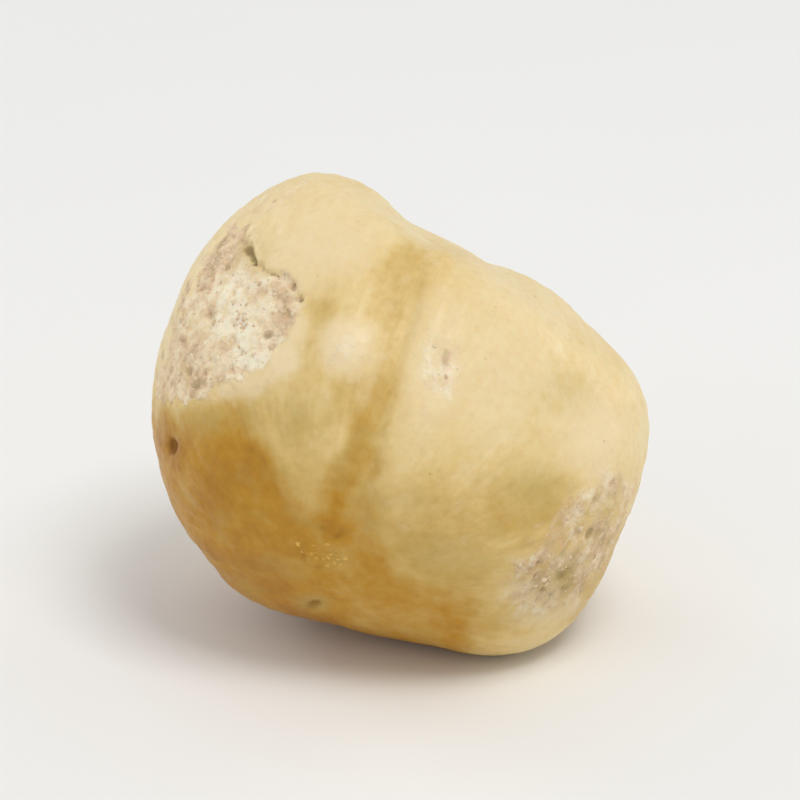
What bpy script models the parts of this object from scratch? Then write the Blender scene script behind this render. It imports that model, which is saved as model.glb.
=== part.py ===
"""A blanched hazelnut kernel, lying on its side on a small flat spot.

The kernel is one grown body. Its surface is a distance from the kernel's centre, worked out
for every direction: an egg-shaped core, broad flats that the shell pressed into it, swellings
at its corners, a blunt tip, furrows that run from the base to the tip, and an underside that
ends in the small flat spot. The base faces the viewer and points down, and the tip points
away and up. World axes: X to the right, Y away from the viewer, Z up. The origin is on the
ground, below the middle of the kernel's box.
"""

import math
from dataclasses import dataclass

import bmesh
import bpy
import numpy as np

MM = 0.001

# Directions are given as seen from the front, from this many degrees above the level
VIEW_RISE = 23.0

# The core's half lengths: along its long axis, across it, and from front to back
CORE_LONG = 8.0 * MM
CORE_CROSS = 7.45 * MM
CORE_DEEP = 7.3 * MM
LONG_AXIS_ANGLE = -50.0

# The kernel's base, where its furrows start
BASE_ANGLE = 255.0
BASE_LIFT = 39.0

# Its blunt tip, nearly opposite
TIP_ANGLE = 75.0
TIP_LIFT = -54.0
TIP_HEIGHT = 0.6 * MM
TIP_SPREAD = 17.0
TIP_BLUNTNESS = 1.6

# How far the kernel's centre is above the ground, which cuts the flat spot under it
CENTRE_HEIGHT = 6.73 * MM

# The mesh: cuts along each edge of the cube that is rounded into the kernel, how near to the
# ground a point is laid on it, and how exact the cut at the ground is
EDGE_CUTS = 26
SNAP_HEIGHT = 0.05 * MM
CUT_TOLERANCE = 0.0001 * MM

# The waxy surface of a kernel whose brown skin has come off
KERNEL_COLOR = (0.69, 0.50, 0.22, 1.0)
KERNEL_ROUGHNESS = 0.5


@dataclass(frozen=True)
class Flat:
    """A broad flat: where it faces, how far it lies from the centre, and how round its rim is."""

    angle: float
    lift: float
    distance: float
    softness: float


@dataclass(frozen=True)
class Swelling:
    """A low round swelling: where it is, how high it stands, and how many degrees it spreads."""

    angle: float
    lift: float
    height: float
    spread: float


@dataclass(frozen=True)
class Furrow:
    """A furrow from base to tip, at a turn about that line.

    The widths are the slopes on its left and right, in degrees of arc. It starts and ends at
    these many degrees of arc from the base.
    """

    turn: float
    depth: float
    left: float
    right: float
    start: float
    end: float


SHELL_FLATS = (
    Flat(57, 0, 5.15 * MM, 0.55 * MM),
    Flat(-105, -6, 7.0 * MM, 0.6 * MM),
    Flat(35, 50, 7.2 * MM, 0.9 * MM),
    Flat(150, 45, 7.5 * MM, 0.9 * MM),
    Flat(255, 39, 7.5 * MM, 0.9 * MM),
    Flat(175, -50, 7.5 * MM, 0.9 * MM),
    Flat(-20, -55, 7.4 * MM, 0.9 * MM),
)

CORNER_SWELLINGS = (
    Swelling(-60, 6, 0.6 * MM, 20),
    Swelling(38, 0, 0.6 * MM, 20),
    Swelling(-132, 0, 0.45 * MM, 22),
    Swelling(60, -38, 0.35 * MM, 22),
    Swelling(128, 69, 0.14 * MM, 7),
    Swelling(97, 2, 0.42 * MM, 11),
)

FURROWS = (
    Furrow(17.5, 0.55 * MM, 19, 8, 20, 150),
    Furrow(-28, 0.22 * MM, 7, 7, 28, 62),
    Furrow(-62, 0.2 * MM, 9, 9, 66, 150),
    Furrow(-104, 0.36 * MM, 15, 9, 36, 140),
    Furrow(-150, 0.25 * MM, 10, 14, 36, 155),
    Furrow(163, 0.3 * MM, 14, 10, 32, 150),
    Furrow(118, 0.22 * MM, 9, 11, 40, 150),
    Furrow(72, 0.22 * MM, 13, 15, 34, 110),
)
FURROW_START_FADE = 7.0
FURROW_END_FADE = 8.0

# A furrow's slopes level out by the first power, and it narrows to nothing by the second one
# towards the far side of the kernel
FURROW_SLOPE_POWER = 1.7
FURROW_SIDE_POWER = 0.6

UNDERSIDE = Flat(-80, -26, 6.88 * MM, 0.2 * MM)

# A flat's plane is met only by directions that face it at least this much
LEAST_FACING = 0.12


def seen(angle, lift):
    """The unit vector at an angle in the front view, lifted towards the viewer by some degrees.

    Angle 0 points to the right and 90 points up in that view.
    """
    a, b, e = math.radians(angle), math.radians(lift), math.radians(VIEW_RISE)
    right = np.array([1.0, 0.0, 0.0])
    up = np.array([0.0, math.sin(e), math.cos(e)])
    toward = np.array([0.0, -math.cos(e), math.sin(e)])
    return math.cos(b) * (math.cos(a) * right + math.sin(a) * up) + math.sin(b) * toward


def arc_between(directions, pole):
    """The angle in degrees between each direction and the pole."""
    return np.degrees(np.arccos(np.clip(directions @ pole, -1.0, 1.0)))


def core_distance(directions):
    """The distance from the centre to the egg-shaped core."""
    ratios = (
        directions @ seen(LONG_AXIS_ANGLE, 0) / CORE_LONG,
        directions @ seen(LONG_AXIS_ANGLE + 90, 0) / CORE_CROSS,
        directions @ seen(0, 90) / CORE_DEEP,
    )
    return 1.0 / np.sqrt(sum(ratio**2 for ratio in ratios))


def press_flat(distances, directions, flat):
    """The distances, kept inside the flat's plane with a rounded rim."""
    facing = np.maximum(directions @ seen(flat.angle, flat.lift), LEAST_FACING)
    plane = flat.distance / facing
    return -flat.softness * np.logaddexp(-distances / flat.softness, -plane / flat.softness)


def swelling_height(directions, swelling):
    """How far the swelling stands out in each direction."""
    arc = arc_between(directions, seen(swelling.angle, swelling.lift))
    return swelling.height * np.exp(-((arc / swelling.spread) ** 2))


def furrow_depth(arc_from_base, turns, furrow):
    """How deep the furrow is, fading out at its two ends and on the far side of the kernel."""
    swing = np.radians(turns - furrow.turn)
    offset = np.degrees(np.arcsin(np.sin(np.radians(arc_from_base)) * np.sin(swing)))
    width = np.where(offset > 0.0, furrow.right, furrow.left)
    slope = np.exp(-np.abs(offset / width) ** FURROW_SLOPE_POWER)
    start = 1.0 / (1.0 + np.exp((furrow.start - arc_from_base) / FURROW_START_FADE))
    end = 1.0 / (1.0 + np.exp((arc_from_base - furrow.end) / FURROW_END_FADE))
    near_side = np.maximum(np.cos(swing), 0.0) ** FURROW_SIDE_POWER
    return furrow.depth * slope * start * end * near_side


def surface_distance(directions):
    """The distance from the kernel's centre to its surface, along each unit direction."""
    distances = core_distance(directions)
    for flat in SHELL_FLATS:
        distances = press_flat(distances, directions, flat)
    for swelling in CORNER_SWELLINGS:
        distances = distances + swelling_height(directions, swelling)

    base = seen(BASE_ANGLE, BASE_LIFT)
    arc_from_base = arc_between(directions, base)
    arc_from_tip = arc_between(directions, seen(TIP_ANGLE, TIP_LIFT))
    distances = distances + TIP_HEIGHT * np.exp(-((arc_from_tip / TIP_SPREAD) ** TIP_BLUNTNESS))

    up = seen(90, 0) - (seen(90, 0) @ base) * base
    up = up / np.linalg.norm(up)
    right = np.cross(up, base)
    turns = np.degrees(np.arctan2(directions @ right, directions @ up))
    for furrow in FURROWS:
        distances = distances - furrow_depth(arc_from_base, turns, furrow)
    return press_flat(distances, directions, UNDERSIDE)


def rounded_cube():
    """A finely cut cube, as a bmesh, whose points lie at even angles when seen from its middle."""
    mesh = bmesh.new()
    bmesh.ops.create_cube(mesh, size=2.0)
    bmesh.ops.subdivide_edges(mesh, edges=mesh.edges[:], cuts=EDGE_CUTS, use_grid_fill=True)
    for vertex in mesh.verts:
        for axis in range(3):
            vertex.co[axis] = math.tan(vertex.co[axis] * math.pi / 4.0)
        vertex.co.normalize()
    return mesh


def shape_kernel(mesh):
    """Move every point of the round mesh out to the kernel's surface, above the ground."""
    directions = np.array([vertex.co[:] for vertex in mesh.verts])
    points = directions * surface_distance(directions)[:, None]
    points[:, 2] += CENTRE_HEIGHT
    points[np.abs(points[:, 2]) < SNAP_HEIGHT, 2] = 0.0
    middle = (points.min(axis=0) + points.max(axis=0)) / 2.0
    points[:, :2] -= middle[:2]
    for vertex, point in zip(mesh.verts, points):
        vertex.co = point


def cut_rest_spot(mesh):
    """Cut the kernel at the ground, and close the cut with one flat face."""
    whole = mesh.verts[:] + mesh.edges[:] + mesh.faces[:]
    bmesh.ops.bisect_plane(
        mesh,
        geom=whole,
        dist=CUT_TOLERANCE,
        plane_co=(0, 0, 0),
        plane_no=(0, 0, -1),
        clear_outer=True,
    )
    rim = [edge for edge in mesh.edges if edge.is_boundary]
    bmesh.ops.edgeloop_fill(mesh, edges=rim)


def kernel_material():
    """The blanched kernel's waxy, creamy golden surface."""
    material = bpy.data.materials.new("blanched_kernel")
    material.use_nodes = True
    shader = material.node_tree.nodes["Principled BSDF"]
    shader.inputs["Base Color"].default_value = KERNEL_COLOR
    shader.inputs["Roughness"].default_value = KERNEL_ROUGHNESS
    shader.inputs["Metallic"].default_value = 0.0
    return material


def make_kernel():
    """The kernel as one closed, smooth-shaded object."""
    mesh = rounded_cube()
    shape_kernel(mesh)
    cut_rest_spot(mesh)
    quads = [face for face in mesh.faces if len(face.verts) == 4]
    bmesh.ops.triangulate(mesh, faces=quads, quad_method="SHORT_EDGE")
    bmesh.ops.recalc_face_normals(mesh, faces=mesh.faces[:])

    data = bpy.data.meshes.new("hazelnut_kernel")
    mesh.to_mesh(data)
    mesh.free()
    data.shade_smooth()
    data.materials.append(kernel_material())
    kernel = bpy.data.objects.new("hazelnut_kernel", data)
    bpy.context.scene.collection.objects.link(kernel)
    return kernel


for leftover in list(bpy.data.objects):
    bpy.data.objects.remove(leftover, do_unlink=True)

make_kernel()
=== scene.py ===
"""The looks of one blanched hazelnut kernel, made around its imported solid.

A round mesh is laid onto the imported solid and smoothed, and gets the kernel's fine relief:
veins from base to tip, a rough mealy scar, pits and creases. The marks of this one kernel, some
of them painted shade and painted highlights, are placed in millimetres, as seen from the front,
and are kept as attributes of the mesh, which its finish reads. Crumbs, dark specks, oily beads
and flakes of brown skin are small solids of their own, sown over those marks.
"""

import logging
import math
from collections.abc import Iterable
from dataclasses import dataclass
from enum import Enum

import bpy
import numpy as np
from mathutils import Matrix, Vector, noise


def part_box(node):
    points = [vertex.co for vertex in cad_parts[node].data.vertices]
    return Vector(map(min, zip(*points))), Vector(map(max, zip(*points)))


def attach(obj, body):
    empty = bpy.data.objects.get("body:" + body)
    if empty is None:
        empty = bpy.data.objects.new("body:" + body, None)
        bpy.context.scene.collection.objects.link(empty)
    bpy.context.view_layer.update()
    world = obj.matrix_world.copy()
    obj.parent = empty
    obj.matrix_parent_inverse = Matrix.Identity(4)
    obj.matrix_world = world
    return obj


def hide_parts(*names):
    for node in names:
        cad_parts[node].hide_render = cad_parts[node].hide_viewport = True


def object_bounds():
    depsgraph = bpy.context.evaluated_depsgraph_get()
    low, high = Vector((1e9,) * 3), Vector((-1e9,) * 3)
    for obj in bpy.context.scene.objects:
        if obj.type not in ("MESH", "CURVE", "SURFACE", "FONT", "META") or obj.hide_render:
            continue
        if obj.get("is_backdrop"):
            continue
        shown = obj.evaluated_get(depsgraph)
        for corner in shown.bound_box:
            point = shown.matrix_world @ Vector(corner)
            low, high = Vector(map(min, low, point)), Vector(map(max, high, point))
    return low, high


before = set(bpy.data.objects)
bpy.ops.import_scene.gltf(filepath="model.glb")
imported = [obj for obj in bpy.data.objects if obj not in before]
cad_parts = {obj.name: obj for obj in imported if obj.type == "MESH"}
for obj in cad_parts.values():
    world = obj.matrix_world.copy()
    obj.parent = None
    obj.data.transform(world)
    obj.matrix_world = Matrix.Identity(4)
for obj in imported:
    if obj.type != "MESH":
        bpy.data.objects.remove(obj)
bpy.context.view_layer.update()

log = logging.getLogger("hazelnut")

MM = 0.001
TO_MM = 1.0 / MM
BODY = "root"
SOLID = "hazelnut_kernel"

# The front view looks along +Y, and down by this much
VIEW_RISE = math.radians(23.0)
RIGHT = Vector((1.0, 0.0, 0.0))
UP = Vector((0.0, math.sin(VIEW_RISE), math.cos(VIEW_RISE)))
TOWARD = Vector((0.0, -math.cos(VIEW_RISE), math.sin(VIEW_RISE)))
SKYWARD = Vector((0.0, 0.0, 1.0))

# The point that the kernel's surface is measured from, below the middle of its box
CENTRE_OFFSET = Vector((0.0, -0.345, -0.26)) * MM

# Where the kernel's base faces: an angle in the front view, and a lift towards the viewer
BASE_ANGLE = math.radians(243.0)
BASE_LIFT = math.radians(45.0)

Point = tuple[float, float]
Triple = tuple[float, float, float]
Color = tuple[float, float, float, float]
Stops = tuple[tuple[float, Color], ...]
Field = np.ndarray


def kernel_centre() -> Vector:
    """The point that the kernel's surface is measured from."""
    low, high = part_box(SOLID)
    return (low + high) / 2 + CENTRE_OFFSET


def base_direction() -> Vector:
    """The unit vector from the kernel's centre to its base."""
    level = math.cos(BASE_ANGLE) * RIGHT + math.sin(BASE_ANGLE) * UP
    return math.cos(BASE_LIFT) * level + math.sin(BASE_LIFT) * TOWARD


def pick(sockets: bpy.types.bpy_prop_collection, key: int | str) -> bpy.types.NodeSocket:
    """Find a socket.

    Args:
        sockets: A node's inputs or outputs.
        key: The socket's number, identifier or name.

    Returns:
        The socket, or the first in use with that identifier or name.
    """
    if isinstance(key, int):
        return sockets[key]
    return next(s for s in sockets if s.enabled and key in (s.identifier, s.name))


class Value:
    """A socket of a node tree. Its operators add the nodes that work out their result."""

    def __init__(self, graph: "Graph", socket: bpy.types.NodeSocket) -> None:
        """Wrap one socket of the graph."""
        self.graph = graph
        self.socket = socket

    @property
    def is_vector(self) -> bool:
        """Whether the socket carries three numbers."""
        return self.socket.type in ("VECTOR", "RGBA")

    def other(self, name: str) -> "Value":
        """Another output of the same node."""
        return Value(self.graph, pick(self.socket.node.outputs, name))

    def __add__(self, other: "Operand") -> "Value":
        """Add a value."""
        return self.graph.calculate("ADD", self, other)

    def __radd__(self, other: "Operand") -> "Value":
        """Be added to a number."""
        return self.graph.calculate("ADD", other, self)

    def __sub__(self, other: "Operand") -> "Value":
        """Take a value away."""
        return self.graph.calculate("SUBTRACT", self, other)

    def __rsub__(self, other: "Operand") -> "Value":
        """Be taken away from a number."""
        return self.graph.calculate("SUBTRACT", other, self)

    def __mul__(self, other: "Operand") -> "Value":
        """Multiply by a value."""
        return self.graph.calculate("MULTIPLY", self, other)

    def __rmul__(self, other: "Operand") -> "Value":
        """Multiply a number."""
        return self.graph.calculate("MULTIPLY", other, self)

    def __abs__(self) -> "Value":
        """The value without its sign."""
        return self.graph.calculate("ABSOLUTE", self)

    def least(self, other: "Operand") -> "Value":
        """The lesser of this and another value."""
        return self.graph.calculate("MINIMUM", self, other)

    def most(self, other: "Operand") -> "Value":
        """The greater of this and another value."""
        return self.graph.calculate("MAXIMUM", self, other)

    def above(self, limit: "Operand") -> "Value":
        """1 where this is greater than the limit, and 0 elsewhere."""
        return self.graph.calculate("GREATER_THAN", self, limit)

    def clipped(self) -> "Value":
        """The value, kept between 0 and 1."""
        return self.most(0.0).least(1.0)

    def unit(self) -> "Value":
        """The vector at length 1."""
        return self.graph.calculate("NORMALIZE", self)

    def dot(self, other: "Operand") -> "Value":
        """The dot product with a vector."""
        settings = {"operation": "DOT_PRODUCT"}
        return self.graph.node("ShaderNodeVectorMath", settings, {0: self, 1: other}, "Value")

    def rise(self, low: float, high: float) -> "Value":
        """A smooth step, from 0 at low to 1 at high."""
        limits = {"Value": self, "From Min": low, "From Max": high}
        return self.graph.node("ShaderNodeMapRange", {"interpolation_type": "SMOOTHSTEP"}, limits)

    def fall(self, low: float, high: float) -> "Value":
        """A smooth step down, from 1 at low to 0 at high."""
        return 1.0 - self.rise(low, high)


Operand = Value | Vector | Triple | float


class Graph:
    """Adds nodes to the node tree of a material or of a geometry modifier."""

    def __init__(self, tree: bpy.types.NodeTree) -> None:
        """Take the tree that the nodes go into."""
        self.tree = tree

    def node(
        self,
        kind: str,
        settings: dict[str, object] | None = None,
        sockets: dict[int | str, object] | None = None,
        output: int | str = 0,
    ) -> Value:
        """Add one node.

        Args:
            kind: The node's type.
            settings: Its properties, which are set first. "stops" gives a colour ramp's stops.
            sockets: The value or link of each socket, by its number, identifier or name.
            output: Which output is wanted.

        Returns:
            That output.
        """
        node = self.tree.nodes.new(kind)
        for name, value in (settings or {}).items():
            if name == "stops":
                self._set_stops(node.color_ramp, value)
            else:
                setattr(node, name, value)
        for key, value in (sockets or {}).items():
            self.feed(pick(node.inputs, key), value)
        return Value(self, pick(node.outputs, output))

    def feed(self, socket: bpy.types.NodeSocket, value: object) -> None:
        """Link a value to a socket, or set the socket to a plain one.

        Args:
            socket: The socket.
            value: A value of this tree, or what the socket is set to.
        """
        if isinstance(value, Value):
            self.tree.links.new(value.socket, socket)
        else:
            socket.default_value = value

    @staticmethod
    def _set_stops(ramp: bpy.types.ColorRamp, stops: Stops) -> None:
        """Give a colour ramp its stops.

        Args:
            ramp: The colour ramp.
            stops: The position and the colour of each stop.
        """
        while len(ramp.elements) < len(stops):
            ramp.elements.new(1.0)
        for element, (position, color) in zip(ramp.elements, stops):
            element.position = position
            element.color = color

    def calculate(self, operation: str, *operands: Operand) -> Value:
        """Add a Math node, or a Vector Math node where an operand is a vector.

        Args:
            operation: The node's operation.
            operands: Values, vectors or numbers.

        Returns:
            The result.
        """
        plain = (int, float)
        if all(isinstance(o, plain) or isinstance(o, Value) and not o.is_vector for o in operands):
            kind = "ShaderNodeMath"
        else:
            kind = "ShaderNodeVectorMath"
            operands = [(o, o, o) if isinstance(o, plain) else o for o in operands]
        return self.node(kind, {"operation": operation}, dict(enumerate(operands)))

    def noise(self, place: Value, scale: float, detail: float = 2.0, output: str = "Fac") -> Value:
        """Smooth noise around a half: scale swells to a unit of place, and detail finer layers."""
        sockets = {"Vector": place, "Scale": scale, "Detail": detail}
        return self.node("ShaderNodeTexNoise", None, sockets, output)

    def cells(self, place: Value, scale: float) -> Value:
        """How far the nearest of many scattered points is, as a share of their spacing."""
        sockets = {"Vector": place, "Scale": scale}
        return self.node("ShaderNodeTexVoronoi", None, sockets, "Distance")

    def blend(self, share: Operand, first: Value | Color, second: Value | Color) -> Value:
        """Mix two colours, with this share of the second."""
        sockets = {"Factor_Float": share, "A_Color": first, "B_Color": second}
        return self.node("ShaderNodeMix", {"data_type": "RGBA"}, sockets, "Result")

    def ramp(self, value: Value, stops: Stops) -> Value:
        """The colour that a ramp gives each value."""
        return self.node("ShaderNodeValToRGB", {"stops": stops}, {"Fac": value}, "Color")


class ShaderGraph(Graph):
    """The node tree of a material, round one Principled shader."""

    def __init__(self, name: str) -> None:
        """Start a material.

        Args:
            name: The material's name.
        """
        self.material = bpy.data.materials.new(name)
        self.material.use_nodes = True
        super().__init__(self.material.node_tree)
        self.shader = self.tree.nodes["Principled BSDF"]

    def set(self, sockets: dict[str, object]) -> None:
        """Set or link sockets of the Principled shader, by their names."""
        for name, value in sockets.items():
            self.feed(pick(self.shader.inputs, name), value)

    def position(self) -> Value:
        """The position of each point, in metres."""
        return self.node("ShaderNodeTexCoord", None, None, "Object")

    def attribute(self, name: str) -> Value:
        """A number that is kept on the mesh under this name."""
        return self.node("ShaderNodeAttribute", {"attribute_name": name}, None, "Fac")

    def vector(self, name: str) -> Value:
        """Three numbers that are kept on the mesh under this name."""
        return self.node("ShaderNodeAttribute", {"attribute_name": name}, None, "Vector")

    def bump(self, height: Value, depth: float) -> Value:
        """The normal of a relief with this height, from 0 to 1, and this depth in metres."""
        return self.node("ShaderNodeBump", None, {"Height": height, "Distance": depth}, "Normal")


class GeometryGraph(Graph):
    """The node tree of a geometry modifier, with named inputs."""

    def __init__(self, name: str) -> None:
        """Start an empty tree.

        Args:
            name: The tree's name.
        """
        super().__init__(bpy.data.node_groups.new(name, "GeometryNodeTree"))
        self.tree.interface.new_socket("Geometry", in_out="OUTPUT", socket_type="NodeSocketGeometry")
        self.inputs = self.tree.nodes.new("NodeGroupInput")
        self.given: dict[str, object] = {}

    def input(self, name: str, kind: str, value: object) -> Value:
        """Add a named input.

        Args:
            name: Its name.
            kind: Its socket type, after "NodeSocket".
            value: What the modifier sets it to.

        Returns:
            The input, to link from.
        """
        made = self.tree.interface.new_socket(name, in_out="INPUT", socket_type="NodeSocket" + kind)
        self.given[made.identifier] = value
        return Value(self, pick(self.inputs.outputs, made.identifier))

    def attribute(self, name: str | Value) -> Value:
        """A number that is kept on the mesh under this name."""
        kind = "GeometryNodeInputNamedAttribute"
        return self.node(kind, {"data_type": "FLOAT"}, {"Name": name}, "Attribute")

    def vector(self, name: str) -> Value:
        """Three numbers that are kept on the mesh under this name."""
        kind = "GeometryNodeInputNamedAttribute"
        return self.node(kind, {"data_type": "FLOAT_VECTOR"}, {"Name": name}, "Attribute")

    def surface_of(self, target: Value) -> Value:
        """The mesh of an object that is one of the tree's inputs."""
        return self.node("GeometryNodeObjectInfo", None, {"Object": target}, "Geometry")

    def position(self) -> Value:
        """The position of each point."""
        return self.node("GeometryNodeInputPosition")

    def normal(self) -> Value:
        """The direction that the surface faces at each point."""
        return self.node("GeometryNodeInputNormal")

    def place(self, geometry: Value, position: Value) -> Value:
        """Put each point at a new position."""
        return self.node("GeometryNodeSetPosition", None, {"Geometry": geometry, "Position": position})

    def shift(self, geometry: Value, offset: Value) -> Value:
        """Move each point by an offset."""
        return self.node("GeometryNodeSetPosition", None, {"Geometry": geometry, "Offset": offset})

    def keep(self, geometry: Value, chosen: Value) -> Value:
        """Only the faces that are chosen."""
        sockets = {"Geometry": geometry, "Selection": chosen}
        return self.node("GeometryNodeSeparateGeometry", {"domain": "FACE"}, sockets, "Selection")

    def random(self, least: Operand, greatest: Operand, seed: Value) -> Value:
        """A number for each point, drawn evenly between two limits."""
        sockets = {"Min": least, "Max": greatest, "Seed": seed}
        return self.node("FunctionNodeRandomValue", {"data_type": "FLOAT"}, sockets, "Value")

    def run(
        self, name: str, geometry: Value, finish: bpy.types.Material, smooth: bool = True
    ) -> bpy.types.Object:
        """End the tree, run it and keep its result as a plain mesh.

        Args:
            name: The name of the piece.
            geometry: What the tree has made, which becomes real.
            finish: The piece's one finish.
            smooth: Whether its shading is smooth.

        Returns:
            An object at the origin, with no modifier left.
        """
        sockets = {"Geometry": geometry, "Shade Smooth": smooth}
        shaded = self.node("GeometryNodeSetShadeSmooth", None, sockets)
        real = self.node("GeometryNodeRealizeInstances", None, {"Geometry": shaded})
        material = self.input("Finish", "Material", finish)
        dressed = self.node("GeometryNodeSetMaterial", None, {"Geometry": real, "Material": material})
        output = self.tree.nodes.new("NodeGroupOutput")
        self.tree.links.new(dressed.socket, output.inputs[0])
        piece = bpy.data.objects.new(name, bpy.data.meshes.new(name))
        bpy.context.scene.collection.objects.link(piece)
        modifier = piece.modifiers.new(name, "NODES")
        modifier.node_group = self.tree
        for identifier, value in self.given.items():
            modifier[identifier] = value
        shown = bpy.context.evaluated_depsgraph_get()
        mesh = bpy.data.meshes.new_from_object(
            piece.evaluated_get(shown), preserve_all_data_layers=True, depsgraph=shown
        )
        piece.modifiers.clear()
        piece.data = mesh
        mesh.name = name
        mesh.materials.clear()
        mesh.materials.append(finish)
        return piece


def rise(values: Field, low: float, high: float) -> Field:
    """A smooth step, from 0 at low to 1 at high."""
    share = np.clip((values - low) / (high - low), 0.0, 1.0)
    return share * share * (3.0 - 2.0 * share)


def fall(values: Field, low: float, high: float) -> Field:
    """A smooth step down, from 1 at low to 0 at high."""
    return 1.0 - rise(values, low, high)


def smooth_noise(place: Field, scale: float, layers: int, seed: float = 0.0) -> Field:
    """Smooth noise around 0.

    Args:
        place: Where it is read, in millimetres.
        scale: How many swells go to a millimetre.
        layers: How many layers it has, each twice as fine and half as strong as the one before.
        seed: What sets one noise apart from another.

    Returns:
        Numbers around 0, most of them within a half.
    """
    weakening, refining = 1.0, 2.0
    spots = (place * scale + seed).tolist()
    return np.array([noise.fractal(spot, weakening, refining, layers) for spot in spots])


# How many swells go to a millimetre in the drift of a mark's limit on the kernel's outline
DRIFT_SCALE = 0.6

# How fast a fibre's place changes from base to tip, for each radian of arc
FIBER_PACE = 0.16

# How far past the outline a mark reaches, in millimetres, and the share of it where it is whole
WRAP = 2.6
WHOLE_SHARE = 0.35


@dataclass(frozen=True)
class Chart:
    """Where every point of the kernel's mesh is.

    Attributes:
        place: Its place in millimetres, measured from the kernel's centre.
        right: Millimetres to the right of the centre, as seen from the front.
        up: Millimetres up from the centre, in that view.
        toward: Millimetres from the centre towards the viewer.
        drift: Smooth noise, in millimetres.
        height: Millimetres above the ground.
        arc: Degrees of arc from the base, which is 0 there and 180 at the tip.
        fiber: A place that changes fast round the kernel and slowly from base to tip.
    """

    place: Field
    right: Field
    up: Field
    toward: Field
    drift: Field
    height: Field
    arc: Field
    fiber: Field

    @classmethod
    def of(cls, mesh: bpy.types.Mesh) -> "Chart":
        """Work out the chart of a mesh.

        Args:
            mesh: The kernel's mesh.

        Returns:
            Its chart.
        """
        points = np.empty(3 * len(mesh.vertices), dtype=np.float32)
        mesh.vertices.foreach_get("co", points)
        centre = kernel_centre() / MM
        base = np.array(base_direction())
        place = points.reshape(-1, 3) / MM - np.array(centre)
        along = place @ base
        arc = np.arccos(np.clip(along / np.linalg.norm(place, axis=1), -1.0, 1.0))
        aside = place - along[:, None] * base
        aside /= np.linalg.norm(aside, axis=1, keepdims=True)
        return cls(
            place=place,
            right=place @ np.array(RIGHT),
            up=place @ np.array(UP),
            toward=place @ np.array(TOWARD),
            drift=smooth_noise(place, DRIFT_SCALE, layers=3),
            height=place[:, 2] + centre.z,
            arc=np.degrees(arc),
            fiber=aside + (FIBER_PACE * arc)[:, None] * base,
        )


class Side(Enum):
    """The side of the kernel that a mark is on, as seen from the front."""

    FRONT = 1.0
    BACK = -1.0


def on_side(chart: Chart, side: Side, wrap: float = WRAP) -> Field:
    """1 on one side of the kernel and a little past its outline, and 0 from wrap past it."""
    return rise(chart.toward * side.value + chart.drift, -wrap, -WHOLE_SHARE * wrap)


def distance_to(chart: Chart, start: Point, end: Point) -> Field:
    """The distance to a straight line between two points, in millimetres.

    Args:
        chart: The chart that the line is drawn on.
        start: Where the line starts.
        end: Where the line ends.

    Returns:
        The distance of each point of the kernel, as seen from the front.
    """
    run, climb = end[0] - start[0], end[1] - start[1]
    across, above = chart.right - start[0], chart.up - start[1]
    share = np.clip((across * run + above * climb) / (run * run + climb * climb), 0.0, 1.0)
    return np.hypot(across - share * run, above - share * climb)


@dataclass(frozen=True)
class Oval:
    """A soft oval mark. All lengths are millimetres, as seen from the front.

    Attributes:
        right: How far its middle is to the right of the kernel's centre.
        up: How far its middle is above the centre.
        wide: Half its length along its own first axis.
        tall: Half its length across that axis.
        lean: The angle of its first axis, in degrees anticlockwise.
        edge: The share of its half length over which it fades.
        amount: How strong it is in its middle.
        side: The side of the kernel that it is on.
    """

    right: float
    up: float
    wide: float
    tall: float
    lean: float = 0.0
    edge: float = 0.9
    amount: float = 1.0
    side: Side = Side.FRONT

    def over(self, chart: Chart, waver: Field | float = 0.0) -> Field:
        """Draw the mark.

        Args:
            chart: The chart that it is drawn on.
            waver: The share of its half length by which its edge strays.

        Returns:
            Its strength at each point.
        """
        turn = math.radians(self.lean)
        across = chart.right - self.right
        above = chart.up - self.up
        first = (across * math.cos(turn) + above * math.sin(turn)) / self.wide
        second = (above * math.cos(turn) - across * math.sin(turn)) / self.tall
        distance = np.hypot(first, second) + waver
        strength = fall(distance, 1.0 - self.edge, 1.0 + self.edge)
        return strength * on_side(chart, self.side) * self.amount


@dataclass(frozen=True)
class Patch:
    """A mark with an outline of its own, in millimetres as seen from the front.

    Attributes:
        corners: The corners of its outline, in order.
        edge: Half the width over which it fades.
        amount: How strong it is inside.
        side: The side of the kernel that it is on.
        wrap: How far past the outline it reaches.
    """

    corners: tuple[Point, ...]
    edge: float = 0.2
    amount: float = 1.0
    side: Side = Side.FRONT
    wrap: float = WRAP

    def over(self, chart: Chart, waver: Field | float = 0.0) -> Field:
        """Draw the mark.

        Args:
            chart: The chart that it is drawn on.
            waver: Millimetres by which its edge strays.

        Returns:
            Its strength at each point.
        """
        nearest = np.full(len(chart.right), math.inf)
        inside = np.zeros(len(chart.right), dtype=bool)
        for start, end in zip(self.corners, self.corners[1:] + self.corners[:1]):
            nearest = np.minimum(nearest, distance_to(chart, start, end))
            if start[1] != end[1]:
                beside = (chart.up > start[1]) != (chart.up > end[1])
                slope = (end[0] - start[0]) / (end[1] - start[1])
                inside ^= beside & (chart.right < start[0] + (chart.up - start[1]) * slope)
        outward = np.where(inside, -nearest, nearest) + waver
        shown = on_side(chart, self.side, self.wrap)
        return fall(outward, -self.edge, self.edge) * shown * self.amount


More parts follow.
